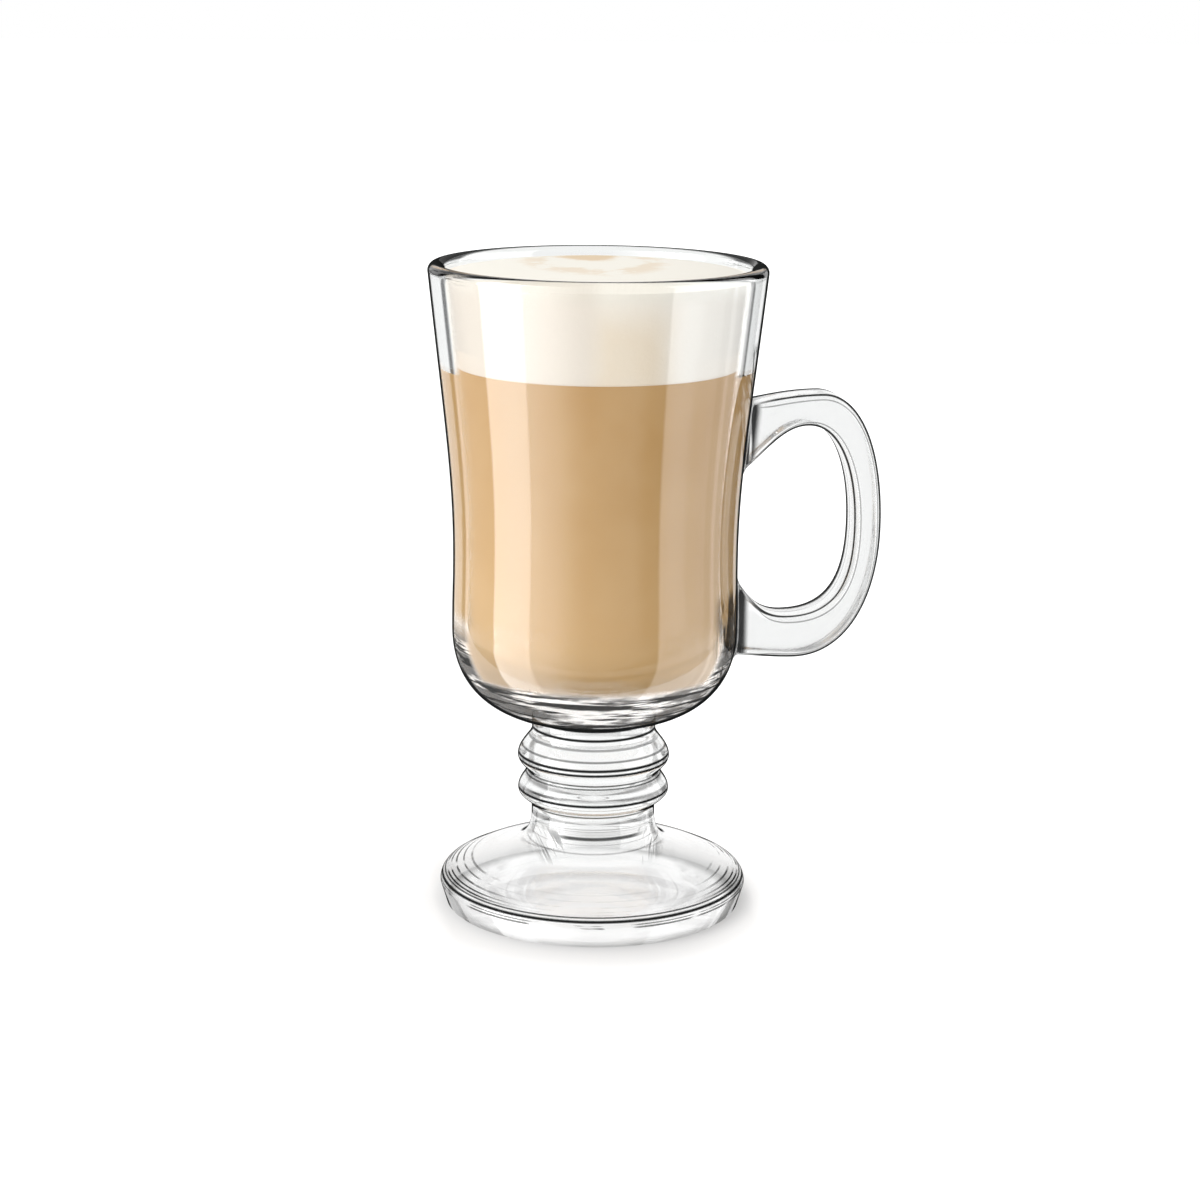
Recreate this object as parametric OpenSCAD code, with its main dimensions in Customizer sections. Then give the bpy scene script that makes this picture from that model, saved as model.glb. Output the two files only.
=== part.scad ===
// Footed glass mug for hot drinks, pressed in four gathers of glass and filled with a layered milk coffee.
// The origin is the centre of the resting face under the foot, +Z is up and the handle points to +X.

/* [Foot] */
// Widest diameter of the foot
foot_d = 71.1; // [64:0.1:80]
// Diameter of the circle on which the foot's edge meets the table
base_d = 68.3; // [60:0.1:70]
// Height of the foot, from the table to its seam with the stem
foot_h = 20.8; // [17:0.1:26]
// Height above the table at which the foot is widest
edge_h = 4.6; // [3.5:0.1:6]
// Radius of the rounded edge round the top of the foot
edge_r = 3; // [1.5:0.1:3.5]
// Diameter of the plate's crown, where the flare up to the stem begins
crown_d = 49; // [44:0.1:54]
// Height of the plate's crown above the table
crown_h = 11.1; // [9.5:0.1:13]
// Diameter of the recess under the foot
recess_d = 54; // [40:0.1:58]
// Depth of the recess at its middle
recess_h = 2.2; // [1:0.1:4]

/* [Stem] */
// Height of the stem, between its seams with the foot and the bowl
stem_h = 23.6; // [19:0.1:28]
// Diameter of the neck, above and below the two rings
neck_d = 28.6; // [25:0.1:32]
// Diameter of the upper ring
upper_ring_d = 35.1; // [33:0.1:40]
// Diameter of the lower ring
lower_ring_d = 34.9; // [33:0.1:40]
// Diameter of the groove between the rings
groove_d = 30.6; // [26:0.1:32.5]

/* [Bowl] */
// Height of the bowl, from its seam with the stem to the rim
bowl_h = 104.1; // [95:0.1:125]
// Widest diameter of the rim
rim_d = 76; // [70:0.1:86]
// Diameter of the waist, the narrowest place of the wall
waist_d = 64.9; // [60:0.1:66]
// Height of the waist above the seam with the stem
waist_h = 38.6; // [33:0.1:46]
// Diameter of the belly, where the wall turns in to the bottom
belly_d = 65.4; // [62:0.1:72]
// Height of the belly above the seam with the stem
belly_h = 20.8; // [18:0.1:24]
// Thickness of the wall
wall_t = 3.5; // [2.4:0.1:4.5]
// Thickness of the glass under the drink, at the middle
floor_t = 7; // [4:0.1:10]
// Height of the rounded part of the inside, above the inner floor
well_h = 15.5; // [12:0.1:19]
// Rise of the outer bottom as it leaves the stem, in degrees from level
bottom_rise = 9; // [0:0.5:14]
// Lean of the wall at the rim, in degrees from upright
rim_lean = 6; // [4:0.5:12]

/* [Handle] */
// Reach of the handle beyond the waist
handle_reach = 32.9; // [28:0.1:40]
// Width of the handle, across the mug
handle_w = 12.4; // [9:0.1:16]
// Thickness of the handle at its arch
arch_t = 7.2; // [6:0.1:10]
// Thickness of the handle at its outer side
side_t = 6.2; // [5:0.1:8]
// Thickness of the handle under the fingers
sole_t = 9.7; // [7:0.1:11]
// Height of the handle's top above the bowl's seam
handle_top_h = 74.6; // [70:0.1:80]
// Height of the handle's lowest point above the bowl's seam
handle_foot_h = 13.4; // [11:0.1:16]
// Distance of the handle's highest place from the waist
arch_out = 18.7; // [16:0.1:21]
// Distance of the handle's lowest place from the waist
sole_out = 13.1; // [11:0.1:16]
// Distance of the finger hole's highest place from the waist
hole_top_out = 15.4; // [13:0.1:18]
// Distance of the finger hole's lowest place from the waist
hole_low_out = 11.5; // [9:0.1:14]
// Drop of the handle's top from its highest place to the wall
root_drop = 3.4; // [1:0.1:4]
// Height of the glass that the upper root takes on the wall
upper_root_h = 13.8; // [11:0.1:17]
// Height of the glass that the lower root takes on the wall
lower_root_h = 16.5; // [14:0.1:19]
// Radius of the handle's rounded edges
handle_round = 2.2; // [1:0.1:2.4]
// Widening of each side of the handle where it joins the wall
root_swell = 1.4; // [0.2:0.1:2]
// Distance from the waist over which the handle widens
root_swell_l = 8; // [4:0.1:10]

/* [Drink] */
// Drop of the foam's edge below the rim
foam_drop = 2.6; // [1.5:0.1:8]
// Depth of the foam at the wall
foam_h = 20.2; // [12:0.1:30]
// Rise of the foam's middle above its edge
foam_rise = 2.1; // [0.6:0.1:2.5]

/* [Hidden] */

$fn = 96;
arc_steps = 14;
curve_steps = 9;
handle_steps = 11;
handle_corner_steps = 4;

foot_r = foot_d / 2;
base_r = base_d / 2;
crown_r = crown_d / 2;
recess_r = recess_d / 2;
neck_r = neck_d / 2;
groove_r = groove_d / 2;
rim_r = rim_d / 2;
waist_r = waist_d / 2;
belly_r = belly_d / 2;
bead_r = wall_t / 2;

seat_z = foot_h + stem_h;
rim_z = seat_z + bowl_h;
belly_z = seat_z + belly_h;
waist_z = seat_z + waist_h;
floor_z = seat_z + floor_t;
well_z = floor_z + well_h;
foam_edge_z = rim_z - foam_drop;
coffee_z = foam_edge_z - foam_h;

// Heights of the stem's features as shares of the stem, from the foot's seam
upper_flare_share = 0.865;
upper_ring_share = 0.593;
groove_share = 0.445;
lower_ring_share = 0.252;
lower_flare_share = 0.08;

// Tangents of the curves, as shares of the way between their ends
tight_share = 0.27;
soft_share = 0.4;
even_share = 0.5;
round_share = 0.6;
full_share = 0.7;

clear_of_rim = 2 * wall_t;
edge_turn = 64;
root_share = 0.86;

// Points on a circle, from one angle to another
function arc(centre, radius, from, to, steps = arc_steps) =
    [for (i = [0:steps]) let (a = from + (to - from) * i / steps) centre + radius * [cos(a), sin(a)]];

// Points on a smooth curve that leaves a towards b and comes to d from c, without a itself
function curve(a, b, c, d, steps = curve_steps) =
    [for (i = [1:steps]) let (t = i / steps, s = 1 - t)
        s * s * s * a + 3 * s * s * t * b + 3 * s * t * t * c + t * t * t * d];

// A point at a share of the way between two others
function between(a, b, share) = a + (b - a) * share;

// A curve from one upright place of an outline to the next
function upright(a, b, leave, arrive) =
    curve(a, [a.x, between(a.y, b.y, leave)], [b.x, between(b.y, a.y, arrive)], b);

// Foot: a flat rim on the table, a rounded edge, a low crowned plate and a flare to the stem
edge_centre = [foot_r - edge_r, edge_h];
edge_top = edge_centre + edge_r * [cos(edge_turn), sin(edge_turn)];
edge_way = [-sin(edge_turn), cos(edge_turn)];
crown = [crown_r, crown_h];
plate_l = norm(edge_top - crown);
crown_slope = between(edge_way, [-1, 0], soft_share);
foot_outline = concat(
    [[0, recess_h]],
    curve([0, recess_h], [recess_r * soft_share, recess_h],
          [recess_r - recess_h, recess_h * soft_share], [recess_r, 0]),
    [[base_r, 0]],
    arc(edge_centre, edge_r, 0, edge_turn),
    curve(edge_top, edge_top + edge_way * plate_l * soft_share,
          crown - crown_slope * plate_l * soft_share, crown),
    curve(crown, crown + crown_slope * (crown_r - neck_r) * round_share,
          [neck_r, between(foot_h, crown_h, full_share)], [neck_r, foot_h]),
    [[0, foot_h]]
);

// Stem: a neck, two rounded rings with a groove between them, and a neck again
function stem_z(share) = foot_h + stem_h * share;
lower_neck = [neck_r, stem_z(lower_flare_share)];
lower_nose = [lower_ring_d / 2, stem_z(lower_ring_share)];
groove = [groove_r, stem_z(groove_share)];
upper_nose = [upper_ring_d / 2, stem_z(upper_ring_share)];
upper_neck = [neck_r, stem_z(upper_flare_share)];
stem_outline = concat(
    [[0, foot_h], [neck_r, foot_h], lower_neck],
    upright(lower_neck, lower_nose, soft_share, soft_share),
    curve(lower_nose, [lower_nose.x, between(lower_nose.y, groove.y, soft_share)],
          between(groove, lower_nose, soft_share), groove),
    curve(groove, between(groove, upper_nose, soft_share),
          [upper_nose.x, between(upper_nose.y, groove.y, soft_share)], upper_nose),
    upright(upper_nose, upper_neck, soft_share, tight_share),
    [[neck_r, seat_z], [0, seat_z]]
);

// Bowl: the outside leaves the seam almost level, turns up one round corner to the belly,
// draws in to the waist and opens to the rim, and the inside follows it
bottom_start = [neck_r, seat_z];
bottom_way = (belly_r - neck_r) * round_share * [cos(bottom_rise), sin(bottom_rise)];
belly_out = [belly_r, belly_z];
belly_in = [belly_r - wall_t, well_z];
waist_out = [waist_r, waist_z];
waist_in = [waist_r - wall_t, waist_z];
bead_centre = [rim_r - bead_r, rim_z - bead_r];
bead_side = bead_r * [cos(rim_lean), -sin(rim_lean)];
rim_out = bead_centre + bead_side;
rim_in = bead_centre - bead_side;
flare_h = rim_z - waist_z;
waist_way = flare_h * tight_share * [0, 1];
rim_way = flare_h * even_share * [sin(rim_lean), cos(rim_lean)];
outer_wall = concat(
    [bottom_start],
    curve(bottom_start, bottom_start + bottom_way,
          [belly_r, between(belly_z, seat_z, round_share)], belly_out, 2 * arc_steps),
    upright(belly_out, waist_out, even_share, even_share),
    curve(waist_out, waist_out + waist_way, rim_out - rim_way, rim_out, 2 * curve_steps)
);
inner_wall = concat(
    curve([0, floor_z], [belly_in.x * round_share, floor_z],
          [belly_in.x, between(well_z, floor_z, round_share)], belly_in, 2 * arc_steps),
    upright(belly_in, waist_in, even_share, even_share),
    curve(waist_in, waist_in + waist_way, rim_in - rim_way, rim_in, 2 * curve_steps)
);
bead = arc(bead_centre, bead_r, -rim_lean, 180 - rim_lean);

module turned(outline) {
    rotate_extrude()
        polygon(outline);
}

module bowl_solid() {
    turned(concat([[0, seat_z]], outer_wall, bead, [[0, rim_in.y]]));
}

// The space inside the wall, closed above the rim
module inside() {
    turned(concat([[0, floor_z]], inner_wall, [[rim_in.x, rim_z + clear_of_rim], [0, rim_z + clear_of_rim]]));
}

// Handle: an outer and an inner outline, each from the upper root over the arch and the side to the lower root
handle_in_x = waist_r * root_share;
handle_top_z = seat_z + handle_top_h;
handle_foot_z = seat_z + handle_foot_h;
side_x = waist_r + handle_reach;
side_z = between(handle_foot_z, handle_top_z, even_share);
arch_top = [waist_r + arch_out, handle_top_z];
sole_under = [waist_r + sole_out, handle_foot_z];
hole_top = [waist_r + hole_top_out, handle_top_z - arch_t];
hole_low = [waist_r + hole_low_out, handle_foot_z + sole_t];
upper_root = [handle_in_x, handle_top_z - root_drop];
lower_root = [handle_in_x, handle_foot_z + root_drop * even_share];
upper_corner = [waist_r, upper_root.y - upper_root_h];
lower_corner = [waist_r, lower_root.y + lower_root_h];

// Curves between a level place of an outline and an upright one
function turn_down(a, b, share) =
    curve(a, [between(a.x, b.x, share), a.y], [b.x, between(b.y, a.y, share)], b, handle_steps);
function turn_in(a, b, share) =
    curve(a, [a.x, between(a.y, b.y, share)], [between(b.x, a.x, share), b.y], b, handle_steps);

handle_outer = concat(
    [upper_root],
    curve(upper_root, between(upper_root, arch_top, tight_share),
          [between(arch_top.x, upper_root.x, soft_share), arch_top.y], arch_top, handle_steps),
    turn_down(arch_top, [side_x, side_z], round_share),
    turn_in([side_x, side_z], sole_under, round_share),
    curve(sole_under, [between(sole_under.x, lower_root.x, soft_share), sole_under.y],
          between(lower_root, sole_under, tight_share), lower_root, handle_steps)
);
upper_start = upper_corner - (hole_top - upper_corner) * (1 - root_share);
lower_start = [handle_in_x, lower_corner.y + waist_r - handle_in_x];
handle_inner = concat(
    [upper_start],
    curve(upper_start, between(upper_corner, hole_top, soft_share),
          [between(hole_top.x, waist_r, soft_share), hole_top.y], hole_top, handle_steps),
    turn_down(hole_top, [side_x - side_t, side_z], round_share),
    turn_in([side_x - side_t, side_z], hole_low, full_share),
    curve(hole_low, [between(hole_low.x, waist_r, full_share), hole_low.y],
          between(lower_corner, hole_low, tight_share), lower_start, handle_steps)
);

// Half the handle's width at a distance from the axis: wider towards the wall, on a smooth curve
function half_width(x) =
    let (near = min(1, max(0, (waist_r + root_swell_l - x) / root_swell_l)))
    handle_w / 2 + root_swell * near * near;

// One ring of the handle: a rectangle with round corners between an inner and an outer point
corner_turns = [for (q = [0:3]) for (i = [0:handle_corner_steps]) 90 * (q + i / handle_corner_steps)];
corner_sides = [[1, 1], [-1, 1], [-1, -1], [1, -1]];
function handle_ring(inner, outer) =
    let (
        middle = (inner + outer) / 2,
        half = norm(outer - inner) / 2,
        wide = half_width(middle.x),
        out = (outer - inner) / norm(outer - inner)
    )
    [for (k = [0:len(corner_turns) - 1])
        let (
            side = corner_sides[floor(k / (handle_corner_steps + 1))],
            across = side.x * (half - handle_round) + handle_round * cos(corner_turns[k]),
            along = side.y * (wide - handle_round) + handle_round * sin(corner_turns[k])
        )
        [middle.x + out.x * across, along, middle.y + out.y * across]];

handle_rings = [for (i = [0:len(handle_outer) - 1]) handle_ring(handle_inner[i], handle_outer[i])];

// A closed skin round a row of rings, in triangles
module skinned(rings) {
    around = len(rings[0]);
    last = (len(rings) - 1) * around;
    sides = [for (i = [0:len(rings) - 2]) for (j = [0:around - 1])
        let (a = i * around + j, b = i * around + (j + 1) % around) each [[a, b, b + around], [a, b + around, a + around]]];
    start = [[for (j = [0:around - 1]) around - 1 - j]];
    end = [[for (j = [0:around - 1]) last + j]];
    polyhedron([for (ring = rings) each ring], concat(sides, start, end));
}

module foot() {
    color([0.8, 0.86, 0.88, 0.5])
        turned(foot_outline);
}

module stem() {
    color([0.8, 0.86, 0.88, 0.5])
        turned(stem_outline);
}

module bowl() {
    color([0.86, 0.9, 0.92, 0.4])
        turned(concat(outer_wall, bead, [for (i = [len(inner_wall) - 1:-1:0]) inner_wall[i]],
                      [[0, floor_z], [0, seat_z]]));
}

module handle() {
    color([0.82, 0.88, 0.9, 0.5])
        difference() {
            skinned(handle_rings);
            bowl_solid();
        }
}

module coffee() {
    color([0.82, 0.65, 0.44])
        intersection() {
            inside();
            cylinder(h = coffee_z, r = rim_r);
        }
}

module milk_foam() {
    color([0.96, 0.92, 0.85])
        intersection() {
            inside();
            turned(concat([[0, coffee_z], [rim_r, coffee_z], [rim_r, foam_edge_z], [rim_in.x, foam_edge_z]],
                          curve([rim_in.x, foam_edge_z], [rim_in.x * full_share, foam_edge_z + foam_rise],
                                [rim_in.x * soft_share, foam_edge_z + foam_rise], [0, foam_edge_z + foam_rise])));
        }
}

foot();
stem();
bowl();
handle();
coffee();
milk_foam();
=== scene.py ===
# %% [markdown]
# # A footed glass mug of milk coffee
# The mug is thick, clear, pressed glass: a foot, a ringed stem, a round-bottomed bowl that opens to the
# rim, and a handle joined on hot. In it stand milk coffee and a layer of fine milk foam. We load the packed
# CAD model first. It fixes every place and size, and our pieces are then made round it.

# %% The frame
import math

import bmesh
import bpy
from mathutils import Matrix, Vector


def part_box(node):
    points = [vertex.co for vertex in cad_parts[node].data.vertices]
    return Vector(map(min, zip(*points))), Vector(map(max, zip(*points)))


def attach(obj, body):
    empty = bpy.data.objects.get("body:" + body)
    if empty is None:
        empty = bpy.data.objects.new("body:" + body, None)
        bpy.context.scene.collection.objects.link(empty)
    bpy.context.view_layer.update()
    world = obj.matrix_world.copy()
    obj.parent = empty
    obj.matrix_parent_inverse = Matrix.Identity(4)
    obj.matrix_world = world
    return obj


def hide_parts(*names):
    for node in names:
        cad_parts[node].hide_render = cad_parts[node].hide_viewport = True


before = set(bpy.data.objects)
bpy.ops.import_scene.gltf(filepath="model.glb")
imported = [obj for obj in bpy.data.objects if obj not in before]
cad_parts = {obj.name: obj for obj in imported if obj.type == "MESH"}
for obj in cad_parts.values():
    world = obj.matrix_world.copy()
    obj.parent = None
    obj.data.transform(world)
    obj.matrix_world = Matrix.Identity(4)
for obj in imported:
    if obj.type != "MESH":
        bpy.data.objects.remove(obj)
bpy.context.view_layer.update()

MM = 0.001
node_box = {name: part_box(name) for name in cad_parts}
for name, (low, high) in node_box.items():
    print(name, "spans", [round((h - l) / MM, 1) for l, h in zip(low, high)], "mm")

# %% [markdown]
# ## The camera
# Glass is all about what stands behind it, so the camera comes before any material. The photograph was
# taken from a little under 60 cm away and from above the rim, with a long lens. A long lens keeps the foot
# and the rim in the proportions they really have. The handle points a few degrees away from us. The mug has
# to stay as the CAD model has it, so the camera goes round by that angle instead.

# %% Camera
PHOTO_SIDE = 1200
SENSOR_SIDE = 36
CAMERA_AWAY = 589.6 * MM
CAMERA_HEIGHT = 215.4 * MM
# Angles are in radians
CAMERA_DOWN = 0.2397
CAMERA_ROLL = 0.0104
HANDLE_TURN = math.radians(8)
FOCAL_SHARE = 2650.75 / PHOTO_SIDE
FRAME_SHIFT = 4.97 / PHOTO_SIDE

camera_data = bpy.data.cameras.new("photo_camera")
camera_data.sensor_width = SENSOR_SIDE
camera_data.lens = FOCAL_SHARE * camera_data.sensor_width
camera_data.shift_x = FRAME_SHIFT
camera = bpy.data.objects.new("photo_camera", camera_data)
bpy.context.collection.objects.link(camera)
turn = Matrix.Rotation(-HANDLE_TURN, 4, "Z")
camera.matrix_world = (
    turn
    @ Matrix.Translation((0, -CAMERA_AWAY, CAMERA_HEIGHT))
    @ Matrix.Rotation(math.pi / 2 - CAMERA_DOWN, 4, "X")
    @ Matrix.Rotation(CAMERA_ROLL, 4, "Z")
)
bpy.context.scene.camera = camera
print("lens", round(camera_data.lens, 1), "mm")

# %% [markdown]
# ## Shader maths as plain Python
# A material is a sheet of nodes. Adding every node by hand buries the idea, so we wrap a socket in a small
# class: `1 - mask * 0.5` then adds its own Math nodes. Any other node comes from one method, which takes
# the node's type, its settings and its sockets.


# %% Node helpers
class Number:
    """A number that the shader works out, with + - * and ** written as in Python."""

    def __init__(self, sheet, socket):
        self.sheet = sheet
        self.socket = socket

    def maths(self, operation, first, second=0.0):
        return self.sheet.add("Math", {"operation": operation}, {0: first, 1: second})

    def __add__(self, other):
        return self.maths("ADD", self, other)

    def __sub__(self, other):
        return self.maths("SUBTRACT", self, other)

    def __rsub__(self, other):
        return self.maths("SUBTRACT", other, self)

    def __mul__(self, other):
        return self.maths("MULTIPLY", self, other)

    def __pow__(self, other):
        return self.maths("POWER", self, other)

    __radd__ = __add__
    __rmul__ = __mul__

    def or_more(self, other):
        """The larger of two numbers."""
        return self.maths("MAXIMUM", self, other)

    def size(self):
        """The number without its sign."""
        return self.maths("ABSOLUTE", self)

    def rise(self, start, end):
        """0 up to start and 1 from end on, with a soft step between them."""
        settings = {"interpolation_type": "SMOOTHSTEP"}
        return self.sheet.add("MapRange", settings, {"Value": self, "From Min": start, "From Max": end})

    def fall(self, start, end):
        """1 up to start and 0 from end on."""
        return 1 - self.rise(start, end)

    def band(self, start, full, fade, end):
        """1 from full to fade, and 0 before start and after end."""
        return self.rise(start, full) * self.fall(fade, end)


class Sheet:
    """The nodes of one material or of the world."""

    def __init__(self, tree):
        self.tree = tree
        tree.nodes.clear()

    def node(self, kind, settings=None, sockets=None):
        made = self.tree.nodes.new("ShaderNode" + kind)
        for name, value in (settings or {}).items():
            setattr(made, name, value)
        for name, value in (sockets or {}).items():
            if isinstance(value, Number):
                self.tree.links.new(value.socket, made.inputs[name])
            else:
                made.inputs[name].default_value = value
        return made

    def add(self, kind, settings=None, sockets=None, output=0):
        """Adds a node and gives one of its outputs back."""
        return Number(self, self.node(kind, settings, sockets).outputs[output])

    def blend(self, share, first, second):
        """One colour over another, by a share from 0 to 1."""
        return self.add("Mix", {"data_type": "RGBA"}, {0: share, 6: first, 7: second}, output=2)

    def between(self, share, first, second):
        """One shader in place of another, by a share from 0 to 1."""
        return self.add("MixShader", sockets={0: share, 1: first, 2: second})

    def clear(self, share):
        """A surface that lets a share of the view straight through."""
        return self.add("BsdfTransparent", sockets={"Color": (share, share, share, 1)})

    def light_path(self, ray):
        return self.add("LightPath", output=ray)

    def coordinates(self, output="Object"):
        return self.add("TexCoord", output=output)

    def parts(self, vector):
        """The three parts of a place or a direction."""
        return [Number(self, output) for output in self.node("SeparateXYZ", sockets={0: vector}).outputs]

    def finish(self, surface, output="OutputMaterial"):
        self.node(output, sockets={"Surface": surface})


def new_finish(name):
    material = bpy.data.materials.new(name)
    material.use_nodes = True
    print("finish", name)
    return material, Sheet(material.node_tree)


# %% [markdown]
# ## Turned shapes
# All of the mug but its handle is round, so one outline turned about the Z axis makes each piece. We draw
# outlines with smooth curves between named places, just as the CAD model does, but far finer: glass bends
# light by its slope, and every flat facet would show in it. Blender's Screw modifier can turn an outline
# too. We lay the rings of points ourselves, because flat joints and the bowl's inside then get finishes of
# their own.


# %% Outlines
def point(x, z):
    return Vector((x, z))


def curve(a, b, c, d, steps):
    """A smooth curve that leaves a towards b and comes to d from c, without a itself."""
    made = []
    for i in range(1, steps + 1):
        t = i / steps
        s = 1 - t
        made.append(s**3 * a + 3 * s * s * t * b + 3 * s * t * t * c + t**3 * d)
    return made


def part_way(a, b, share):
    return a + (b - a) * share


def upright(a, b, leave, arrive, steps):
    """A curve from one upright place of an outline to the next."""
    return curve(a, point(a.x, part_way(a.y, b.y, leave)), point(b.x, part_way(b.y, a.y, arrive)), b, steps)


def arc(centre, radius, start, end, steps):
    angles = [math.radians(start + (end - start) * i / steps) for i in range(steps + 1)]
    return [centre + radius * point(math.cos(a), math.sin(a)) for a in angles]


def straight(a, b, steps):
    return [part_way(a, b, i / steps) for i in range(1, steps + 1)]


# Shares that the outlines use for their tangents, as in the CAD model
TIGHT, SOFT, EVEN, ROUND, FULL = 0.27, 0.4, 0.5, 0.6, 0.7

# %% Sizes that the CAD boxes don't tell
foot_r = node_box["foot"][1][0]
foot_top = node_box["foot"][1][2]
seat_z = node_box["stem"][1][2]
rim_r = node_box["bowl"][1][0]
rim_z = node_box["bowl"][1][2]
floor_z = node_box["coffee"][0][2]
coffee_z = node_box["coffee"][1][2]
foam_top = node_box["milk_foam"][1][2]

neck_r = 14.3 * MM
waist_r = 32.45 * MM
waist_z = seat_z + 38.6 * MM
belly_r = 32.7 * MM
belly_z = seat_z + 20.8 * MM
wall_t = 3.5 * MM
well_z = floor_z + 15.5 * MM
lip_r = wall_t / 2
bottom_rise = math.radians(9)
rim_lean = math.radians(6)
foam_edge = rim_z - 2.6 * MM

# %% Bowl outlines
bottom_start = point(neck_r, seat_z)
bottom_way = (belly_r - neck_r) * ROUND * point(math.cos(bottom_rise), math.sin(bottom_rise))
belly_out = point(belly_r, belly_z)
belly_in = point(belly_r - wall_t, well_z)
waist_out = point(waist_r, waist_z)
waist_in = point(waist_r - wall_t, waist_z)
lip_centre = point(rim_r - lip_r, rim_z - lip_r)
lip_side = lip_r * point(math.cos(rim_lean), -math.sin(rim_lean))
rim_out = lip_centre + lip_side
rim_in = lip_centre - lip_side
flare_h = rim_z - waist_z
waist_way = point(0, flare_h * TIGHT)
rim_way = flare_h * EVEN * point(math.sin(rim_lean), math.cos(rim_lean))

outer_wall = (
    [bottom_start]
    + curve(bottom_start, bottom_start + bottom_way,
            point(belly_r, part_way(belly_z, seat_z, ROUND)), belly_out, steps=60)
    + upright(belly_out, waist_out, EVEN, EVEN, steps=24)
    + curve(waist_out, waist_out + waist_way, rim_out - rim_way, rim_out, steps=60)
)
inner_wall = (
    [point(0, floor_z)]
    + curve(point(0, floor_z), point(belly_in.x * ROUND, floor_z),
            point(belly_in.x, part_way(well_z, floor_z, ROUND)), belly_in, steps=60)
    + upright(belly_in, waist_in, EVEN, EVEN, steps=24)
    + curve(waist_in, waist_in + waist_way, rim_in - rim_way, rim_in, steps=60)
)
lean_degrees = math.degrees(rim_lean)
lip = arc(lip_centre, lip_r, -lean_degrees, 180 - lean_degrees, steps=32)
print("wall outline", len(outer_wall), "points outside and", len(inner_wall), "inside")


def wall_radius(z, wall=outer_wall):
    """Radius of the bowl's wall at a height."""
    for low, high in zip(wall, wall[1:]):
        if low.y <= z <= high.y:
            return part_way(low.x, high.x, (z - low.y) / (high.y - low.y))
    return wall[-1].x if z > wall[-1].y else wall[0].x


# %% Turning an outline
AROUND = 256
SOFT_CREASE = math.radians(40)
SAME_HEIGHT = 1e-7
# Places in a turned piece's row of finishes
OUTSIDE, JOINT, INSIDE = 0, 1, 2


def new_piece(name, points, faces, materials, face_slots=None, crease=SOFT_CREASE):
    """A mesh piece that rides with the mug, smooth but for edges sharper than the crease."""
    mesh = bpy.data.meshes.new(name)
    mesh.from_pydata([tuple(p) for p in points], [], faces)
    mesh.validate()
    piece = bpy.data.objects.new(name, mesh)
    bpy.context.collection.objects.link(piece)
    for material in materials:
        mesh.materials.append(material)
    mesh.polygons.foreach_set("use_smooth", [True] * len(mesh.polygons))
    if face_slots:
        mesh.polygons.foreach_set("material_index", face_slots)
    mesh.set_sharp_from_angle(angle=crease)
    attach(piece, "root")
    print(name, len(mesh.polygons), "faces")
    return piece


def turned(name, outline, materials, joint_heights=(), inner_from=None):
    """Turns an outline that starts and ends on the axis.

    Flat discs at a joint height take the second finish, and faces from the ring inner_from on the third."""
    points = [(0, 0, outline[0].y)]
    rings = outline[1:-1]
    for p in rings:
        for k in range(AROUND):
            a = 2 * math.pi * k / AROUND
            points.append((p.x * math.cos(a), p.x * math.sin(a), p.y))
    points.append((0, 0, outline[-1].y))
    last = len(points) - 1
    faces, slots = [], []

    def slot_between(z1, z2):
        at_joint = any(abs(z1 - z) < SAME_HEIGHT and abs(z2 - z) < SAME_HEIGHT for z in joint_heights)
        return JOINT if at_joint else OUTSIDE

    for k in range(AROUND):
        faces.append((0, 1 + (k + 1) % AROUND, 1 + k))
        slots.append(slot_between(outline[0].y, rings[0].y))
    for i in range(len(rings) - 1):
        inside = inner_from and i >= inner_from
        slot = INSIDE if inside else slot_between(rings[i].y, rings[i + 1].y)
        for k in range(AROUND):
            a, b = 1 + i * AROUND + k, 1 + i * AROUND + (k + 1) % AROUND
            faces.append((a, b, b + AROUND, a + AROUND))
            slots.append(slot)
    top = 1 + (len(rings) - 1) * AROUND
    for k in range(AROUND):
        faces.append((top + k, top + (k + 1) % AROUND, last))
        slots.append(INSIDE if inner_from else slot_between(rings[-1].y, outline[-1].y))
    return new_piece(name, points, faces, materials, slots)


# %% [markdown]
# ## Clear glass
# Real glass has almost no colour of its own. What we see of it is a bent view of the room, and in a
# photograph on white that means bright middles and thin dark edges. A Principled shader with full
# transmission gives real bending. We use it where the bending shows: at the lip, the side walls, the thick
# bottom, the stem, the foot and the handle. In front of the drink the wall is a see-through layer with a
# mirror sheen, so coffee and foam keep their colours. Lamps and soft light pass straight through, because a
# path tracer finds light behind glass slowly. The dark outlines, the streaks and the lines round the rings,
# which real glass shows where it bends or mirrors dark parts of the room, are painted shade: a nearly black
# finish that a mask blends in. The mask is worked out from the angle to the view and from the place on the
# mug, so that the painted shade follows the glass when the camera moves.

# %% Glass finish
GLASS_COLOUR = (0.93, 0.945, 0.94, 1)
GLASS_BENDING = 1.5
HEAD_ON_MIRROR = 0.04
# Painted shade: the nearly black finish of the dark outlines, streaks and lines drawn on the glass
PAINTED_SHADE_COLOUR = (0.012, 0.013, 0.013, 1)


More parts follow.
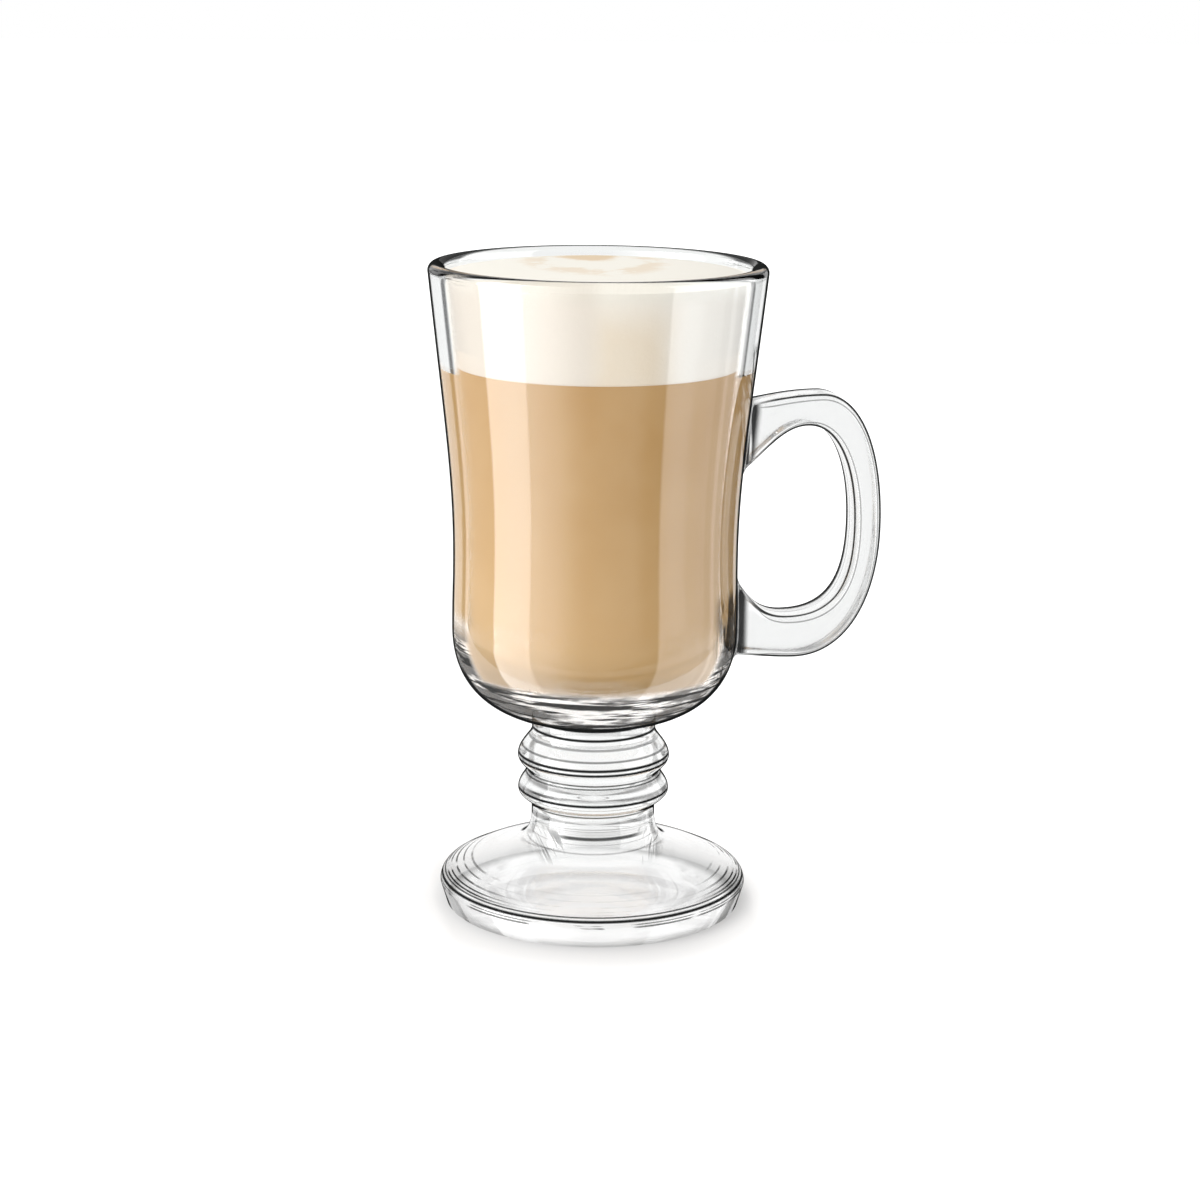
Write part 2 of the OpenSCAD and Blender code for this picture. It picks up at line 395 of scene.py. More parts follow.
def glass_finish(name, shade, tint, edge, bend, wet=None, gleam=None):
    """Clear glass.

    shade is the share of lamp light and soft light that one surface keeps back, and tint the share of the
    view that the see-through layer lets through. edge(facing, x, y, height) is the share that turns to dark
    outline, and bend(facing, x, height) the share of what is seen that real bending shows. facing goes from
    0, seen straight on, to 1 at the outline. wet(height) tells where a drink touches the glass, and
    gleam(x, height) how strong its mirror is."""
    material, sheet = new_finish(name)
    x, y, height = sheet.parts(sheet.coordinates())
    facing = sheet.add("LayerWeight", output="Facing")
    leaving = sheet.add("NewGeometry", output="Backfacing")
    solid = sheet.add("BsdfPrincipled", sockets={
        "Base Color": GLASS_COLOUR, "Roughness": 0.0, "IOR": GLASS_BENDING, "Transmission Weight": 1.0})
    shine = sheet.add("BsdfGlossy", sockets={"Color": (1, 1, 1, 1), "Roughness": 0.0})
    # Painted shade, blended in over the glass where the edge mask asks for it
    painted_shade_bsdf = sheet.add("BsdfPrincipled", sockets={
        "Base Color": PAINTED_SHADE_COLOUR, "Roughness": 0.6, "Specular IOR Level": 0.0})
    mirror = facing**5 * (1 - HEAD_ON_MIRROR) + HEAD_ON_MIRROR
    if gleam:
        mirror = mirror * gleam(x, height)
    sheen = sheet.between(mirror, sheet.clear(tint), shine)
    beyond = 1 - sheet.light_path("Is Camera Ray")
    if wet:
        beyond = beyond * (1 - wet(height))
    bent = (bend(facing, x, height) * (1 - leaving)).or_more(beyond)
    body = sheet.between(bent, sheen, solid)
    body = sheet.between(edge(facing, x, y, height) * (1 - leaving), body, painted_shade_bsdf)
    soft_light = sheet.light_path("Is Shadow Ray").or_more(sheet.light_path("Is Diffuse Ray"))
    sheet.finish(sheet.between(soft_light, body, sheet.clear(1 - shade)))
    return material


def joint_finish(name):
    """Where two pieces of glass are one, light goes straight on."""
    material, sheet = new_finish(name)
    sheet.finish(sheet.clear(1))
    return material


# %% Where the bowl bends the view
def zone(low, high, start=0.0):
    """Two places between which a finish changes, in millimetres from a start."""
    return start + low * MM, start + high * MM


# facing pairs are shares from straight on to the outline, the others heights or places out from the middle
THICK_FACING = (0.52, 0.62)
SIDE_FACING = (0.5, 0.57)
LIP_ZONE = zone(-6, -2, rim_z)
LIP_SIDES = zone(30, 35)
THICK_FRONT = zone(4.6, 6.6, floor_z)
THICK_SIDES = zone(10.6, 18.6, floor_z)
DRINK_START = zone(14.6, 20.6, floor_z)
WET_START = zone(14.6, 21.6, floor_z)
WET_END = zone(-0.3, 0, coffee_z)


def lip_share(x, height):
    """The lip bends the view, less at its two sides."""
    return height.rise(*LIP_ZONE) * (1 - x.size().rise(*LIP_SIDES) * 0.62)


def thick_band(facing, height):
    """The outer wall's part through which the thick bottom shows, below and beside the drink."""
    return height.fall(*THICK_FRONT).or_more(facing.rise(*THICK_FACING) * height.fall(*THICK_SIDES))


def bowl_bend(facing, x, height):
    """Real bending at the lip, at the sides and low down, and a plain view of the drink between."""
    low = height.fall(*DRINK_START) * 0.9
    sides = facing.rise(*SIDE_FACING) * (height.rise(*DRINK_START) * 0.65 + 0.35)
    return low.or_more(lip_share(x, height)).or_more(sides) * (1 - thick_band(facing, height) * 0.7)


def inside_bend(facing, x, height):
    return lip_share(x, height)


def wet_wall(height):
    """Where the coffee wets the wall, light goes on into it."""
    return (height.rise(*WET_START) * 0.1 + 0.85) * height.fall(*WET_END)


# %% Where the foot, the stem and the handle bend it
FOOT_PLATE = zone(6.8, 8.5)
FOOT_SWEEP = zone(13, 17)


def foot_bend(facing, x, height):
    """Little bending in the low plate, and more in the sweep up to the stem."""
    return height.rise(*FOOT_PLATE) * 0.05 + height.rise(*FOOT_SWEEP) * 0.4 + 0.15


def even_bend(share):
    """The same share of bending all over."""
    return lambda facing, x, height: share


# %% Painted shade in streaks and lines
CORE_SHARE = 0.3


def shade_streak_noise(x, y, height, fine=400, along=25):
    """Noise drawn out round the glass into faint streaks, for masks of painted shade.

    fine tells how close they lie and along how soon they break. Places given in another order turn them."""
    place = x.sheet.add("CombineXYZ", sockets={0: x * along, 1: y * along, 2: height * fine})
    return x.sheet.add("TexNoise", sockets={"Vector": place, "Scale": 1.0, "Detail": 3.0, "Roughness": 0.6})


def shade_lines_round(height, rows, start=0.0):
    """Painted shade lines round the glass, each with a height, a half width in millimetres and a strength."""
    lines = height * 0
    for middle, width, strength in rows:
        core = width * CORE_SHARE
        below, above = zone(middle - width, middle - core, start), zone(middle + core, middle + width, start)
        lines = lines.or_more(height.band(*below, *above) * strength)
    return lines


# %% Painted shade and painted reflection on the bowl
# Where the bowl's painted shade lies: outlines, streaks low down and beside the handle's roots, lip lines
BOWL_OUTLINE = (0.81, 0.86)
INSIDE_OUTLINE = (0.87, 0.91)
UNDER_OUTLINE = (0.7, 0.8)
UNDER_ZONE = zone(4.6, 12.6, floor_z)
LEFT_LEAN = zone(-28, -8)
LOW_ROOT_Z = node_box["handle"][0][2] + 7.2 * MM
LOW_ROOT_OUT = zone(23, 27)
LOW_ROOT_REACH = zone(9, 13)
LOW_ROOT_FACING = (0.28, 0.42)
HIGH_ROOT_Z = node_box["handle"][1][2] + 2 * MM
HIGH_ROOT_OUT = zone(31, 33)
HIGH_ROOT_REACH = zone(9, 12)
HIGH_ROOT_FACING = (0.5, 0.75)
LIP_TOP = zone(-3, -1.5, rim_z)
LIP_ENDS = zone(29, 34)
LIP_CREST = zone(-1.3, -0.9, rim_z)
FAR_HALF = zone(-6, 6)
FAR_LIP_FACING = (0.45, 0.55)
GLEAM_END = zone(11.6, 17.6, floor_z)
GLEAM_LEFT = zone(-18, -14)


def painted_bottom_streaks(facing, x, y, height):
    """Painted shade in fine and broad streaks in the thick bottom, more of it on the left."""
    fine = shade_streak_noise(x, y, height, fine=900, along=50).rise(0.47, 0.55) * 0.95
    broad = shade_streak_noise(y, x, height, fine=260, along=55) + x.fall(*LEFT_LEAN) * 0.08
    return fine.or_more(broad.rise(0.48, 0.6) * 0.78) * thick_band(facing, height)


def painted_root_streaks(facing, x, y, height):
    """Painted shade in streaks in the wall beside the two roots of the handle."""
    low = x.rise(*LOW_ROOT_OUT) * (height - LOW_ROOT_Z).size().fall(*LOW_ROOT_REACH)
    high = x.rise(*HIGH_ROOT_OUT) * (height - HIGH_ROOT_Z).size().fall(*HIGH_ROOT_REACH)
    roots = (low * facing.rise(*LOW_ROOT_FACING)).or_more(high * facing.rise(*HIGH_ROOT_FACING))
    return shade_streak_noise(height, y, x, fine=950, along=90).rise(0.42, 0.52) * roots * 0.85


def painted_lip_lines(facing, x, y, height):
    """Painted shade in broken lines at the lip's two sides, and in an outline along its far half."""
    sides = shade_streak_noise(x, y, height, fine=1500, along=60).rise(0.5, 0.57) * height.rise(*LIP_TOP)
    far = facing.rise(*FAR_LIP_FACING) * height.rise(*LIP_CREST) * y.rise(*FAR_HALF)
    return (sides * x.size().rise(*LIP_ENDS) * 0.6).or_more(far * 0.85)


# Painted shade on the bowl's outside: a dark outline, darker low down, and the painted streaks and lines
def bowl_painted_shade(facing, x, y, height):
    under = facing.rise(*UNDER_OUTLINE) * height.fall(*UNDER_ZONE)
    edge = facing.rise(*BOWL_OUTLINE).or_more(under)
    for drawn in (painted_bottom_streaks, painted_root_streaks, painted_lip_lines):
        edge = edge.or_more(drawn(facing, x, y, height))
    return edge


# Painted shade on the bowl's inside: a dark outline
def inside_painted_shade(facing, x, y, height):
    return facing.rise(*INSIDE_OUTLINE) * 0.95


def bowl_painted_mirror_fade(x, height):
    """Painted reflection: on the left the mirror is turned down where the bowl starts to round under."""
    return 1 - height.fall(*GLEAM_END) * x.fall(*GLEAM_LEFT) * 0.8


# %% Painted shade on the stem
STEM_OUTLINE = (0.78, 0.84)
STEM_LINES = (
    (2.9, 0.35, 0.8), (6.4, 0.45, 1.0), (13.7, 0.48, 1.0), (14.8, 0.48, 1.0),
    (16.6, 0.32, 0.7), (21.0, 0.5, 1.0), (23.2, 0.4, 1.0),
)
STEM_BROKEN_LINES = ((7.5, 0.35, 0.8), (9.9, 0.25, 0.8), (10.6, 0.35, 0.8), (18.9, 0.4, 0.6))


def stem_painted_shade(facing, x, y, height):
    """Painted shade in lines where each ring swells and draws in, as the bent view turns over there."""
    broken = shade_streak_noise(x, y, height, fine=150).rise(0.36, 0.54)
    lines = shade_lines_round(height, STEM_LINES, foot_top)
    return facing.rise(*STEM_OUTLINE).or_more(lines).or_more(
        shade_lines_round(height, STEM_BROKEN_LINES, foot_top) * broken)


# %% Painted shade on the foot
FOOT_OUTLINE = (0.89, 0.94)
RIM_OUTLINE = (0.82, 0.88)
RIM_END = zone(6.4, 7)
EDGE_LINES = ((6.2, 0.45, 1.0), (6.95, 0.18, 0.9))
EDGE_BROKEN_LINES = ((4.8, 0.3, 0.8), (5.4, 0.2, 0.7))
PLATE_LINES = ((7.3, 0.14, 1.0), (7.7, 0.12, 1.0), (8.3, 0.15, 0.9), (9.1, 0.12, 0.8), (9.9, 0.14, 0.7))
PLATE_SIDES = zone(20, 30)
NECK_LINE = ((18.5, 0.6, 0.9),)
NECK_FRONT = zone(7, 12)
SWEEP_UP = (*zone(12.5, 15), *zone(18.5, 20.5))
SWEEP_OUT = (*zone(8, 9.5), *zone(12.5, 15))
SWEEP_SLANT = 0.5


def painted_foot_lines(x, y, height):
    """Painted shade: lines round the foot's edge, fine ones at the plate's sides, one in front of the neck.
    """
    wide = x.size()
    broken = shade_streak_noise(x, y, height, fine=150, along=60).rise(0.44, 0.55)
    lines = shade_lines_round(height, EDGE_LINES).or_more(shade_lines_round(height, EDGE_BROKEN_LINES) * broken)
    lines = lines.or_more(shade_lines_round(height, NECK_LINE) * wide.fall(*NECK_FRONT))
    return lines.or_more(shade_lines_round(height, PLATE_LINES) * broken * (wide.rise(*PLATE_SIDES) * 0.9 + 0.1))


def painted_sweep_streaks(x, height):
    """Painted shade in slanted streaks at both sides of the sweep up to the stem."""
    wide = x.size()
    place = height.band(*SWEEP_UP) * wide.band(*SWEEP_OUT)
    streaks = shade_streak_noise(height, x, wide - height * SWEEP_SLANT, fine=1100, along=90)
    return streaks.rise(0.49, 0.56) * place * 0.6


# Painted shade on the foot: dark outlines at its edge and rim, and the painted lines and streaks
def foot_painted_shade(facing, x, y, height):
    rim = facing.rise(*RIM_OUTLINE) * height.fall(*RIM_END)
    edge = facing.rise(*FOOT_OUTLINE).or_more(rim)
    return edge.or_more(painted_foot_lines(x, y, height)).or_more(painted_sweep_streaks(x, height))


# %% Painted shade on the handle
# Where the handle's painted shade lies: outlines, a thin dark line near each side face, streaks at the roots
NEAR_OUTLINE = (0.36, 0.46)
FAR_OUTLINE = (0.55, 0.65)
SIDE_LINE_BAND = (*zone(5.8, 5.88), *zone(5.96, 6.04))
FLARE_Z = waist_z + 14 * MM
FLARE_SLOPE = 0.11
ROOT_SHADE_REACH = zone(0.6, 2.4)
ROOT_FADE = zone(0, 6)
UPPER_SHADE_START = zone(12, 17, waist_z)
NEAR_SIDE = zone(3.4, 4.4)
FAR_SIDE = zone(1.8, 3)


def handle_painted_shade(facing, x, y, height):
    """Painted shade: dark lines along the handle's sides, and streaks at its roots."""
    wide = y.size()
    line = wide.band(*SIDE_LINE_BAND) * 0.6
    past_wall = x - waist_r - (height - FLARE_Z).or_more(0.0) * FLARE_SLOPE
    root_noise = (shade_streak_noise(height, y, x, fine=500) + height.rise(*UPPER_SHADE_START) * 0.1).rise(0.4, 0.5)
    painted_root_shade = root_noise * past_wall.fall(*ROOT_SHADE_REACH) * (1 - facing.rise(0.4, 0.65) * 0.75)
    near_edge = facing.rise(*NEAR_OUTLINE) * wide.rise(*NEAR_SIDE) * (past_wall.rise(*ROOT_FADE) * 0.6 + 0.4)
    far_edge = facing.rise(*FAR_OUTLINE) * y.rise(*FAR_SIDE)
    return near_edge.or_more(far_edge).or_more(painted_root_shade).or_more(line) * 0.97


# %% The finishes of glass
bowl_glass = glass_finish(
    "bowl_glass", shade=0.03, tint=0.98, edge=bowl_painted_shade, bend=bowl_bend, gleam=bowl_painted_mirror_fade)
inside_glass = glass_finish(
    "inside_glass", shade=0.03, tint=0.98, edge=inside_painted_shade, bend=inside_bend, wet=wet_wall)
stem_glass = glass_finish("stem_glass", shade=0.3, tint=0.96, edge=stem_painted_shade, bend=even_bend(0.75))
foot_glass = glass_finish("foot_glass", shade=0.3, tint=0.98, edge=foot_painted_shade, bend=foot_bend)
handle_glass = glass_finish("handle_glass", shade=0.1, tint=0.81, edge=handle_painted_shade, bend=even_bend(0.6))
hot_joint = joint_finish("hot_joint")

# %% [markdown]
# ## Foot
# The foot stands on a flat ring round a shallow recess. Its edge is rounded, a low plate runs in from it,
# and then the glass sweeps up to the stem. One turned outline holds it all, so the light that the thick
# glass bends finds no seam. The flat disc at the top, where the stem goes on, takes the joint's finish.

# %% Foot
base_r = 34.15 * MM
recess_r = 27 * MM
recess_h = 2.2 * MM
edge_r = 3 * MM
edge_h = 4.6 * MM
edge_turn = 64
crown = point(24.5 * MM, 11.1 * MM)

edge_centre = point(foot_r - edge_r, edge_h)
edge_angle = math.radians(edge_turn)
edge_top = edge_centre + edge_r * point(math.cos(edge_angle), math.sin(edge_angle))
edge_way = point(-math.sin(edge_angle), math.cos(edge_angle))
plate_l = (edge_top - crown).length
crown_slope = part_way(edge_way, point(-1, 0), SOFT)
recess_top = point(0, recess_h)
foot_outline = (
    [recess_top]
    + curve(recess_top, point(recess_r * SOFT, recess_h),
            point(recess_r - recess_h, recess_h * SOFT), point(recess_r, 0), steps=40)
    + [point(base_r, 0)]
    + arc(edge_centre, edge_r, 0, edge_turn, steps=24)
    + curve(edge_top, edge_top + edge_way * plate_l * SOFT,
            crown - crown_slope * plate_l * SOFT, crown, steps=30)
    + curve(crown, crown + crown_slope * (crown.x - neck_r) * ROUND,
            point(neck_r, part_way(foot_top, crown.y, FULL)), point(neck_r, foot_top), steps=50)
    + [point(0, foot_top)]
)
foot = turned("glass_foot", foot_outline, [foot_glass, hot_joint], [foot_top])
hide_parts("foot")

# %% [markdown]
# ## Stem
# Two round rings with a groove between them give the fingers a grip. Each is a nose that swells out of the
# neck and draws in again. Heights are shares of the stem's own height, so the rings keep their places if it
# grows.

# %% Stem
stem_h = seat_z - foot_top
lower_nose_r, groove_r, upper_nose_r = 17.45 * MM, 15.3 * MM, 17.55 * MM


def on_stem(radius, share):
    return point(radius, foot_top + stem_h * share)


lower_neck = on_stem(neck_r, 0.08)
lower_nose = on_stem(lower_nose_r, 0.252)
groove = on_stem(groove_r, 0.445)
upper_nose = on_stem(upper_nose_r, 0.593)
upper_neck = on_stem(neck_r, 0.865)
stem_outline = (
    [point(0, foot_top), point(neck_r, foot_top)]
    + straight(point(neck_r, foot_top), lower_neck, steps=4)
    + upright(lower_neck, lower_nose, SOFT, SOFT, steps=24)
    + curve(lower_nose, point(lower_nose.x, part_way(lower_nose.y, groove.y, SOFT)),
            part_way(groove, lower_nose, SOFT), groove, steps=20)
    + curve(groove, part_way(groove, upper_nose, SOFT),
            point(upper_nose.x, part_way(upper_nose.y, groove.y, SOFT)), upper_nose, steps=20)
    + upright(upper_nose, upper_neck, SOFT, TIGHT, steps=30)
    + straight(upper_neck, point(neck_r, seat_z), steps=6)
    + [point(0, seat_z)]
)
stem = turned("glass_stem", stem_outline, [stem_glass, hot_joint], [foot_top, seat_z])
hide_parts("stem")

# %% [markdown]
# ## Bowl
# The bowl is one outline that goes up outside, over the rounded lip and down inside to the thick floor. A
# Solidify modifier would give an even wall, but here the glass under the drink is twice as thick as the
# side. From the lip on, the faces take the inside's finish, which knows where the coffee wets it.

# %% Bowl
bowl_outline = [point(0, seat_z)] + outer_wall + lip[1:-1] + inner_wall[::-1]
inner_from = len(outer_wall) + len(lip) - 1
bowl = turned("glass_bowl", bowl_outline, [bowl_glass, hot_joint, inside_glass], [seat_z], inner_from)
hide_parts("bowl")

# %% [markdown]
# ## Handle
# The handle's thickness changes all along it. A bevelled curve would keep one section, so we lay a row of
# rounded rings between an outer and an inner outline. Each lengthwise line is then cut where it meets the
# bowl's wall and opens out a little there, as hot glass does when it is pressed on.

# %% Handle outlines
STATIONS = 40
handle_low, handle_high = node_box["handle"]
side_x = handle_high[0]
handle_top = handle_high[2]
handle_foot = handle_low[2]
arch_t, side_t, sole_t = 7.2 * MM, 6.2 * MM, 9.7 * MM
arch_out, sole_out = 18.7 * MM, 13.1 * MM
hole_top_out, hole_low_out = 15.4 * MM, 11.5 * MM
upper_corner_drop, lower_corner_rise = 13.8 * MM, 16.5 * MM
root_drop = 3.4 * MM
# The outlines start inside the wall and are cut to it later
inside_x = waist_r * 0.86
OVERSHOOT_SHARE = 0.14

side_z = part_way(handle_foot, handle_top, EVEN)
arch_top = point(waist_r + arch_out, handle_top)
sole_under = point(waist_r + sole_out, handle_foot)
hole_top = point(waist_r + hole_top_out, handle_top - arch_t)
hole_low = point(waist_r + hole_low_out, handle_foot + sole_t)
upper_root = point(inside_x, handle_top - root_drop)
lower_root = point(inside_x, handle_foot + root_drop * EVEN)
upper_corner = point(waist_r, upper_root.y - upper_corner_drop)
lower_corner = point(waist_r, lower_root.y + lower_corner_rise)


def turn_down(a, b, share):
    return curve(a, point(part_way(a.x, b.x, share), a.y), point(b.x, part_way(b.y, a.y, share)), b, STATIONS)


def turn_in(a, b, share):
    return curve(a, point(a.x, part_way(a.y, b.y, share)), point(part_way(b.x, a.x, share), b.y), b, STATIONS)


outer_side = point(side_x, side_z)
inner_side = point(side_x - side_t, side_z)
handle_outer = (
    [upper_root]
    + curve(upper_root, part_way(upper_root, arch_top, TIGHT),
            point(part_way(arch_top.x, upper_root.x, SOFT), arch_top.y), arch_top, STATIONS)
    + turn_down(arch_top, outer_side, ROUND)
    + turn_in(outer_side, sole_under, ROUND)
    + curve(sole_under, point(part_way(sole_under.x, lower_root.x, SOFT), sole_under.y),
            part_way(lower_root, sole_under, TIGHT), lower_root, STATIONS)
)
upper_start = upper_corner - (hole_top - upper_corner) * OVERSHOOT_SHARE
lower_start = point(inside_x, lower_corner.y + waist_r - inside_x)
handle_inner = (
    [upper_start]
    + curve(upper_start, part_way(upper_corner, hole_top, SOFT),
            point(part_way(hole_top.x, waist_r, SOFT), hole_top.y), hole_top, STATIONS)
    + turn_down(hole_top, inner_side, ROUND)
    + turn_in(inner_side, hole_low, FULL)
    + curve(hole_low, point(part_way(hole_low.x, waist_r, FULL), hole_low.y),
            part_way(lower_corner, hole_low, TIGHT), lower_start, STATIONS)
)

# %% Handle rings
HANDLE_HALF = 6.2 * MM
ROOT_SWELL = 1.4 * MM
ROOT_SWELL_L = 8 * MM
EDGE_ROUND = 2.2 * MM
CORNER_STEPS = 8
SIDE_STEPS = 8


def ring_pattern():
    """Half a ring, from the middle of the outside to the middle of the inside.

    Each entry names a stretch of the ring and tells how far along it a point lies."""
    pattern = [("outer", i / SIDE_STEPS) for i in range(SIDE_STEPS)]
    pattern += [("outer_corner", i / CORNER_STEPS) for i in range(CORNER_STEPS + 1)]
    pattern += [("side", i / SIDE_STEPS) for i in range(1, SIDE_STEPS)]
    pattern += [("inner_corner", i / CORNER_STEPS) for i in range(CORNER_STEPS + 1)]
    pattern += [("inner", i / SIDE_STEPS) for i in range(1, SIDE_STEPS + 1)]
    return pattern


def half_width(x):
    """Half the handle's width at a distance from the axis: wider towards the wall."""
    near = min(1, max(0, (waist_r + ROOT_SWELL_L - x) / ROOT_SWELL_L))
    return HANDLE_HALF + ROOT_SWELL * near * near


def ring_place(kind, share, half, wide):
    """Place across the handle's thickness and along its width, for one entry of the pattern."""
    flat_across = half - EDGE_ROUND
    flat_along = wide - EDGE_ROUND
    if kind == "outer":
        return half, flat_along * share
    if kind == "inner":
        return -half, flat_along * (1 - share)
    if kind == "side":
        return flat_across * (1 - 2 * share), wide
    angle = math.pi / 2 * share
    if kind == "outer_corner":
        return flat_across + EDGE_ROUND * math.cos(angle), flat_along + EDGE_ROUND * math.sin(angle)
    return -flat_across - EDGE_ROUND * math.sin(angle), flat_along + EDGE_ROUND * math.cos(angle)


half_ring = ring_pattern()
other_half = half_ring[1:-1][::-1]
rings = []
for outer, inner in zip(handle_outer, handle_inner):
    middle = (outer + inner) / 2
    half = (outer - inner).length / 2
    out = (outer - inner).normalized()
    ring = []
    for side, pattern in ((1, half_ring), (-1, other_half)):
        for kind, share in pattern:
            across, along = ring_place(kind, share, half, half_width(middle.x))
            ring.append(Vector((middle.x + out.x * across, side * along, middle.y + out.y * across)))
    rings.append(ring)
ring_size = len(rings[0])
print("handle", len(rings), "rings of", ring_size, "points")

# %% Cutting the handle at the wall
ROOT_GAP = 0.02 * MM
ROOT_FLARE = 1.0 * MM
ROOT_STRETCH = 3 * MM
ROOT_STATIONS = 14
STEP_GROWTH = 1.5
HALVINGS = 24


def off_wall(p):
    return math.hypot(p.x, p.y) - wall_radius(p.z) - ROOT_GAP


def cut_at_wall(line):
    """The part of a lengthwise line that is outside the wall, with both its ends on the wall."""
    first = next(i for i, p in enumerate(line) if off_wall(p) > 0)
    last = len(line) - 1 - next(i for i, p in enumerate(reversed(line)) if off_wall(p) > 0)

    def crossing(inner_point, outer_point):
        for _ in range(HALVINGS):
            middle = (inner_point + outer_point) / 2
            if off_wall(middle) > 0:
                outer_point = middle
            else:
                inner_point = middle
        return outer_point

    return (
        [crossing(line[first - 1], line[first])]
        + line[first:last + 1]
        + [crossing(line[last + 1], line[last])]
    )


def even_row(line, count):
    """The line again, in steps that are short near its two ends and even between."""
    lengths = [0.0]
    for a, b in zip(line, line[1:]):
        lengths.append(lengths[-1] + (b - a).length)
    total = lengths[-1]
    near = [ROOT_STRETCH * (i / ROOT_STATIONS) ** STEP_GROWTH for i in range(ROOT_STATIONS)]
    middle = [ROOT_STRETCH + (total - 2 * ROOT_STRETCH) * i / count for i in range(count + 1)]
    row, k = [], 0
    for s in near + middle + [total - s for s in reversed(near)]:
        while k < len(lengths) - 2 and lengths[k + 1] < s:
            k += 1
        span = lengths[k + 1] - lengths[k]
        row.append(line[k].lerp(line[k + 1], min(1, max(0, (s - lengths[k]) / span))))
    return row


lines = [even_row(cut_at_wall([ring[j] for ring in rings]), 4 * STATIONS) for j in range(ring_size)]
rings = [[line[i] for line in lines] for i in range(len(lines[0]))]


def flared(ring):
    """Opens a ring out from its middle, more the nearer it is to the wall."""
    middle = sum(ring, Vector()) / len(ring)
    made = []
    for p in ring:
        near = max(0.0, 1 - max(0.0, off_wall(p)) / ROOT_FLARE)
        spread = ROOT_FLARE * (1 - math.sqrt(max(0.0, 1 - near * near)))
        away = p - middle
        away.x = 0
        made.append(p + away.normalized() * spread)
    return made


def onto_wall(p):
    r = wall_radius(p.z) + ROOT_GAP
    return Vector((math.sqrt(max(0.0, r * r - p.y * p.y)), p.y, p.z))


rings = [flared(ring) for ring in rings]
rings[0] = [onto_wall(p) for p in rings[0]]
rings[-1] = [onto_wall(p) for p in rings[-1]]

# %% Handle
CAP_COLUMNS = 12
HANDLE_CREASE = math.radians(50)
points = [p for ring in rings for p in ring]
faces = []
for i in range(len(rings) - 1):
    for j in range(ring_size):
        a, b = i * ring_size + j, i * ring_size + (j + 1) % ring_size
        faces.append((a, b, b + ring_size, a + ring_size))


def add_cap(start, flip):
    """Closes an end of the handle with a patch that lies on the wall."""
    half = ring_size // 2
    rows = []
    for j in range(1, half):
        left, right = points[start + j], points[start + (ring_size - j)]
        row = [start + j]
        for c in range(1, CAP_COLUMNS):
            points.append(onto_wall(left.lerp(right, c / CAP_COLUMNS)))
            row.append(len(points) - 1)
        row.append(start + ring_size - j)
        rows.append(row)
    patch = []
    for c in range(CAP_COLUMNS):
        patch.append((start, rows[0][c + 1], rows[0][c]))
        patch.append((start + half, rows[-1][c], rows[-1][c + 1]))
    for upper, lower in zip(rows, rows[1:]):
        for c in range(CAP_COLUMNS):
            patch.append((upper[c], upper[c + 1], lower[c + 1], lower[c]))
    faces.extend(tuple(reversed(face)) if flip else face for face in patch)


add_cap(0, flip=False)
add_cap((len(rings) - 1) * ring_size, flip=True)
handle = new_piece("glass_handle", points, faces, [handle_glass], crease=HANDLE_CREASE)
cleaner = bmesh.new()
cleaner.from_mesh(handle.data)
bmesh.ops.recalc_face_normals(cleaner, faces=cleaner.faces)
cleaner.to_mesh(handle.data)
cleaner.free()
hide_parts("handle")

# %% [markdown]
# ## Coffee
# Milk coffee is an opaque liquid that lies right against the glass. With no air between them the glass
# works as a magnifier, and the coffee seems to fill the mug to its outer edge. Two faces in one place would
# flicker, so the coffee is turned from the inner wall's outline and stands a hair inside it. The wall's
# inside lets light straight through where the coffee wets it, which brings the magnifier back. The liquid
# needs no shine of its own, for the glass in front has it.

# %% Coffee finish
COFFEE_LOW = (0.59, 0.38, 0.175, 1)
COFFEE_HIGH = (0.52, 0.315, 0.13, 1)
COFFEE_CLOUD = (0.65, 0.45, 0.24, 1)
COFFEE_UNDERSIDE = (0.8, 0.79, 0.77, 1)
UNDERSIDE_END = zone(0.3, 1.2, floor_z)


def coffee_colour(sheet):
    """The coffee's colour at a place: paler on its underside, where light comes up through the stem."""
    place = sheet.coordinates()
    height = sheet.parts(place)[2]
    clouds = sheet.add("TexNoise", sockets={"Vector": place, "Scale": 55.0, "Detail": 3.0, "Roughness": 0.55})
    tone = sheet.blend(height.rise(floor_z, coffee_z), COFFEE_LOW, COFFEE_HIGH)
    tone = sheet.blend(clouds.rise(0.35, 0.75) * 0.25, tone, COFFEE_CLOUD)
    return sheet.blend(height.fall(*UNDERSIDE_END), tone, COFFEE_UNDERSIDE)


milk_coffee, sheet = new_finish("milk_coffee")
sheet.finish(sheet.add("BsdfPrincipled", sockets={
    "Base Color": coffee_colour(sheet), "Roughness": 0.5, "Specular IOR Level": 0.0}))

# %% Coffee
AIR = 0.12 * MM


def pushed_out(wall, distance):
    """The outline moved outwards along its own normals."""
    made = []
    for i, p in enumerate(wall):
        before, after = wall[max(0, i - 1)], wall[min(len(wall) - 1, i + 1)]
        along = (after - before).normalized()
        made.append(point(max(0.0, p.x + along.y * distance), p.y - along.x * distance))
    made[0] = point(0, wall[0].y - distance)
    return made


coffee_side = [p for p in pushed_out(inner_wall, -AIR) if p.y < coffee_z]
coffee_edge = point(wall_radius(coffee_z, inner_wall) - AIR, coffee_z)
coffee = turned("coffee_fill", coffee_side + [coffee_edge, point(0, coffee_z)], [milk_coffee])
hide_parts("coffee")

